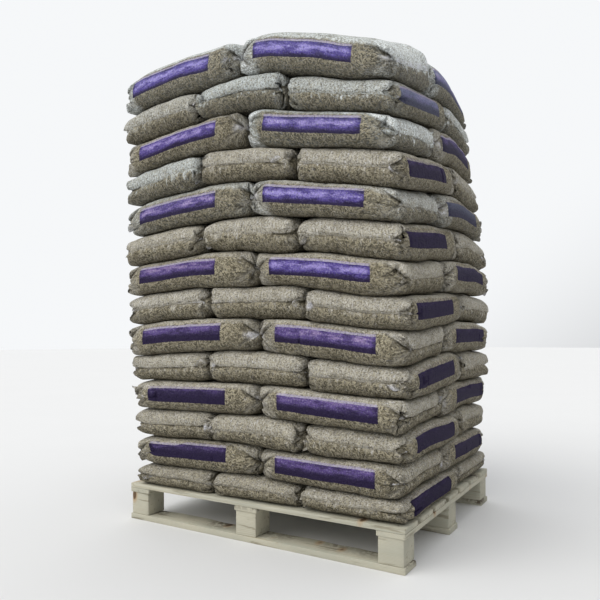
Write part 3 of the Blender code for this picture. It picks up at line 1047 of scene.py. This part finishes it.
def wood_colour(nodes, grain, knot_far, late, fibres, cloud):
    """Pale wood with rings, grey patches, knots in darker halos, stains and a little bark."""
    streak = nodes.noise(grain, (5.0, 55.0, 55.0), 4.0, 0.6)
    rind = nodes.times(nodes.attribute("bark", "Fac"), nodes.ramp(nodes.noise(grain, 60.0, 4.0), 0.35, 0.55))
    return nodes.coats(
        WOOD_PALE,
        (nodes.times(late, 0.55), WOOD_RING),
        (nodes.ramp(cloud, 0.35, 0.7, 0.05, 0.75), WOOD_GREY),
        (nodes.ramp(fibres, 0.5, 0.8, 0.0, 0.35), WOOD_RING),
        (nodes.times(nodes.ramp(knot_far, 0.10, 0.23, 1.0, 0.0), 0.6), WOOD_HALO),
        (nodes.ramp(knot_far, 0.075, 0.125, 1.0, 0.0), WOOD_KNOT),
        (nodes.ramp(streak, 0.57, 0.68, 0.0, 0.65), WOOD_STAIN),
        (nodes.ramp(streak, 0.73, 0.79, 0.0, 0.7), WOOD_BARK),
        (rind, WOOD_BARK))


def wood_material():
    """Pale sawn softwood: year rings, knots, a little bark, saw marks and grey weathering."""
    material, nodes, shader = new_material("pallet_wood")
    grain = nodes.attribute("grain")
    flattened = nodes.vector("MULTIPLY", nodes.stray(grain, 20.0, 0.012), (1.0, 0.55, 0.55))
    cells = nodes.add("ShaderNodeTexVoronoi", {"Vector": flattened, "Scale": KNOT_CELLS})
    knot_far = cells.outputs["Distance"]
    late = year_rings(nodes, grain, knot_far)
    fibres = nodes.noise(grain, (9.0, 420.0, 420.0), 3.0)
    cloud = nodes.noise(grain, (4.0, 14.0, 14.0), 4.0)
    wavering = nodes.line(nodes.noise(grain, 6.0), 0.01, nodes.parts(grain)[0])
    saw = nodes.math("SINE", nodes.times(wavering, 2 * math.pi / SAW_PITCH))
    relief = nodes.line(saw, 0.10, nodes.line(fibres, 0.7, nodes.times(late, 0.4)))
    nodes.feed(shader, {
        "Base Color": wood_colour(nodes, grain, knot_far, late, fibres, cloud), "Specular IOR Level": 0.3,
        "Roughness": nodes.ramp(cloud, 0.3, 0.7, 0.66, 0.85), "Normal": nodes.bump(relief, 0.0008, 0.7)})
    return material


def nail_material():
    """Galvanised steel, dull and a little rusty."""
    material, nodes, shader = new_material("nail_steel")
    place = nodes.add("ShaderNodeTexCoord").outputs["Object"]
    rust = nodes.ramp(nodes.noise(place, 260.0, 4.0), 0.45, 0.65)
    nodes.feed(shader, {
        "Base Color": nodes.mix(rust, NAIL_ZINC, NAIL_RUST), "Roughness": nodes.ramp(rust, 0, 1, 0.42, 0.85),
        "Metallic": 0.8, "Normal": nodes.bump(nodes.noise(place, 900.0), 0.0002)})
    return material


# Pallet

EDGE_WEAR = 0.0022
STATION_STEP = 0.020
ARC_POINTS = 4
# Timbers with bark left on an edge: corner number round the section, and how deep it goes
WANE = {
    "bottom_board_front": {0: 0.010},
    "bottom_board_middle": {2: 0.008},
    "bottom_board_back": {1: 0.009},
    "stringer_board_middle": {0: 0.006, 1: 0.008},
    "deck_board_3": {3: 0.006},
    "deck_board_6": {0: 0.007},
}


def wander(dice, shortest):
    """A smooth random function of one length, between about -1 and 1."""
    waves = [(2 * math.pi / (shortest * 1.7**n), dice.uniform(0, 2 * math.pi)) for n in range(4)]
    return lambda s: sum(math.sin(rate * s + phase) for rate, phase in waves) / 2.6


def section(width, height, radii):
    """Points round a timber's section, each corner an arc of its own radius."""
    points = []
    for corner, radius in enumerate(radii):
        quarter = corner * math.pi / 2
        middle = (width / 2 - radius, height / 2 - radius)
        signs = ((1, 1), (-1, 1), (-1, -1), (1, -1))[corner]
        for step in range(ARC_POINTS):
            angle = quarter + math.pi / 2 * step / (ARC_POINTS - 1)
            points.append((signs[0] * middle[0] + radius * math.cos(angle),
                           signs[1] * middle[1] + radius * math.sin(angle)))
    return points


def bridge(built, rings):
    """Adds the faces between each ring of points and the next one."""
    for one, other in zip(rings, rings[1:]):
        for n, vert in enumerate(one):
            following = (n + 1) % len(one)
            built.faces.new((vert, one[following], other[following], other[n]))


def finished(name, built, material):
    """A mesh of what was built."""
    mesh = bpy.data.meshes.new(name)
    built.to_mesh(mesh)
    built.free()
    mesh.materials.append(material)
    return mesh


def timber_stations(length):
    """Places along a timber for its rings of points: both ends, just inside them, and evenly between."""
    count = max(4, round(length / STATION_STEP))
    ends = {0.0, EDGE_WEAR, length - EDGE_WEAR, length}
    return sorted(ends | {length * n / count for n in range(1, count)})


def timber_sections(node, length, width, height, dice):
    """For each station of a timber: its place, its section's points, and the bark on each of its edges."""
    wear = [wander(dice, 0.05) for _ in range(4)]
    bark_run = [wander(dice, 0.16) for _ in range(4)]
    wane = WANE.get(node, {})
    for station in timber_stations(length):
        inset = EDGE_WEAR * (0.6 if station in (0.0, length) else 0.0)
        barked = [float(smooth_step(0.6 * bark_run[c](station) + 0.45)) if c in wane else 0.0
                  for c in range(4)]
        radii = [EDGE_WEAR * (0.8 + 0.35 * wear[c](station)) + wane.get(c, 0.0) * barked[c] for c in range(4)]
        yield station, section(width - 2 * inset, height - 2 * inset, radii), barked


def timber_mesh(node, lengthwise, material):
    """A sawn timber as large as a CAD board or block: its edges are worn, and a few have bark."""
    dice = random.Random(node)
    low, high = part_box(node)
    middle, size = (low + high) / 2, high - low
    sideways = 1 - lengthwise
    length = size[lengthwise]
    sections = list(timber_sections(node, length, size[sideways], size.z, dice))
    offset = (dice.uniform(0, 40), dice.uniform(-0.06, 0.06), dice.choice((-1, 1)) * dice.uniform(0.02, 0.09))

    built = bmesh.new()
    rings, grain, bark = [], [], []
    for station, outline, barked in sections:
        rings.append([])
        for number, (across, up) in enumerate(outline):
            place = Vector((0, 0, up))
            place[lengthwise] = station - length / 2
            place[sideways] = across
            rings[-1].append(built.verts.new(middle + place))
            grain.append((station + offset[0], across + offset[1], up + offset[2]))
            bark.append(barked[number // ARC_POINTS])
    bridge(built, rings)
    built.faces.new(rings[0])
    built.faces.new(rings[-1])
    bmesh.ops.recalc_face_normals(built, faces=built.faces)
    mesh = finished(node, built, material)
    store(mesh, "grain", grain)
    store(mesh, "bark", bark)
    mesh.shade_smooth()
    mesh.set_sharp_from_angle(angle=math.radians(50))
    return mesh


def timber(node, lengthwise, material):
    piece = in_scene(f"timber_{node}", timber_mesh(node, lengthwise, material))
    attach(piece, "root")
    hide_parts(node)


NAIL_RADIUS = 0.0042
NAIL_DOME = 0.0009
NAIL_SIDES = 10
# The middle of each nail head lies this far below the board's top
NAIL_SUNK = 0.0004


def nail_heads(name, places, material):
    """Low domed nail heads, driven flush into the boards."""
    built = bmesh.new()
    profile = ((NAIL_RADIUS, -0.0006), (NAIL_RADIUS * 0.96, 0.0003), (NAIL_RADIUS * 0.6, NAIL_DOME * 0.8))
    turns = [2 * math.pi * n / NAIL_SIDES for n in range(NAIL_SIDES)]
    for place in places:
        rings = [[built.verts.new(place + Vector((radius * math.cos(turn), radius * math.sin(turn), rise)))
                  for turn in turns] for radius, rise in profile]
        bridge(built, rings)
        built.faces.new(rings[-1])
        built.faces.new(reversed(rings[0]))
    mesh = finished(name, built, material)
    mesh.shade_smooth()
    piece = in_scene(name, mesh)
    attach(piece, "root")


def nail_deck(material):
    """Three nails through each deck board into each stringer."""
    dice = random.Random(77)
    for board in (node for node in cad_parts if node.startswith("deck_board")):
        low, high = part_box(board)
        places = []
        for column in ("left", "middle", "right"):
            left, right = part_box(f"stringer_board_{column}")
            for share in (0.2, 0.5, 0.8):
                x = (left.x + right.x) / 2 + dice.choice((-0.022, 0.022)) + dice.uniform(-0.006, 0.006)
                places.append(Vector((x, low.y + share * (high.y - low.y), high.z - NAIL_SUNK)))
        nail_heads(f"nails_{board}", places, material)


def build_pallet():
    wood = wood_material()
    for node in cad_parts:
        if not node.startswith("sack_layer"):
            timber(node, 1 if node.startswith("stringer_board") else 0, wood)
    nail_deck(nail_material())


# Studio

CAMERA_PLACE = (1.314, -2.313, 0.762)
CAMERA_YAW = 31.13
CAMERA_ROLL = -0.22
CAMERA_LENS = 36.87
CAMERA_SHIFT = 0.0547
FLOOR_RADIUS = 30.0
FLOOR_DARK = (0.74, 0.74, 0.74, 1)
FLOOR_PALE = (0.76, 0.76, 0.76, 1)
KEY_FROM = (-0.35, -0.75, 0.95)
KEY_STRENGTH = 1.3
KEY_WIDTH = 50
KEY_TINT = (1.0, 0.985, 0.95)
SURROUND_TINT = (0.97, 0.985, 1.0, 1)
BRIGHT_SIDE = (-0.60, -0.06, 0.80)
SURROUND_DARK = 0.03
SURROUND_BRIGHT = 0.95


def studio_floor():
    """A wide, pale, faintly mottled floor."""
    material, nodes, shader = new_material("studio_floor")
    place = nodes.add("ShaderNodeTexCoord").outputs["Object"]
    cloud = nodes.noise(place, 1.5, 3.0)
    nodes.feed(shader, {"Base Color": nodes.mix(cloud, FLOOR_DARK, FLOOR_PALE), "Roughness": 0.9})
    built = bmesh.new()
    bmesh.ops.create_circle(built, cap_ends=True, segments=96, radius=FLOOR_RADIUS)
    in_scene("studio_floor", finished("studio_floor", built, material))


def studio_lights():
    """A wide soft key from the front left, and a pale surround that is darker towards the right."""
    light = bpy.data.lights.new("key", "SUN")
    light.energy = KEY_STRENGTH
    light.angle = math.radians(KEY_WIDTH)
    light.color = KEY_TINT
    in_scene("key", light).rotation_euler = Vector(KEY_FROM).to_track_quat("Z", "Y").to_euler()

    world = bpy.data.worlds.new("studio")
    world.use_nodes = True
    nodes = Nodes(world.node_tree)
    way = nodes.add("ShaderNodeTexCoord").outputs["Generated"]
    towards = nodes.vector("DOT_PRODUCT", way, Vector(BRIGHT_SIDE).normalized())
    strength = nodes.ramp(towards, -0.55, 0.20, SURROUND_DARK, SURROUND_BRIGHT)
    nodes.feed(world.node_tree.nodes["Background"], {"Color": SURROUND_TINT, "Strength": strength})
    bpy.context.scene.world = world
    bpy.context.scene.view_settings.view_transform = "Standard"


def photo_camera():
    """The camera that took the photograph, as solved from the pallet's corners."""
    data = bpy.data.cameras.new("camera")
    data.lens = CAMERA_LENS
    data.shift_y = CAMERA_SHIFT
    camera = in_scene("camera", data)
    turn = Matrix.Rotation(math.radians(CAMERA_YAW), 4, "Z")
    level = Matrix.Rotation(math.radians(90), 4, "X")
    roll = Matrix.Rotation(math.radians(CAMERA_ROLL), 4, "Z")
    camera.matrix_world = Matrix.Translation(CAMERA_PLACE) @ turn @ level @ roll
    bpy.context.scene.camera = camera


build_pallet()
stack_sacks(sack_material())
studio_floor()
studio_lights()
photo_camera()
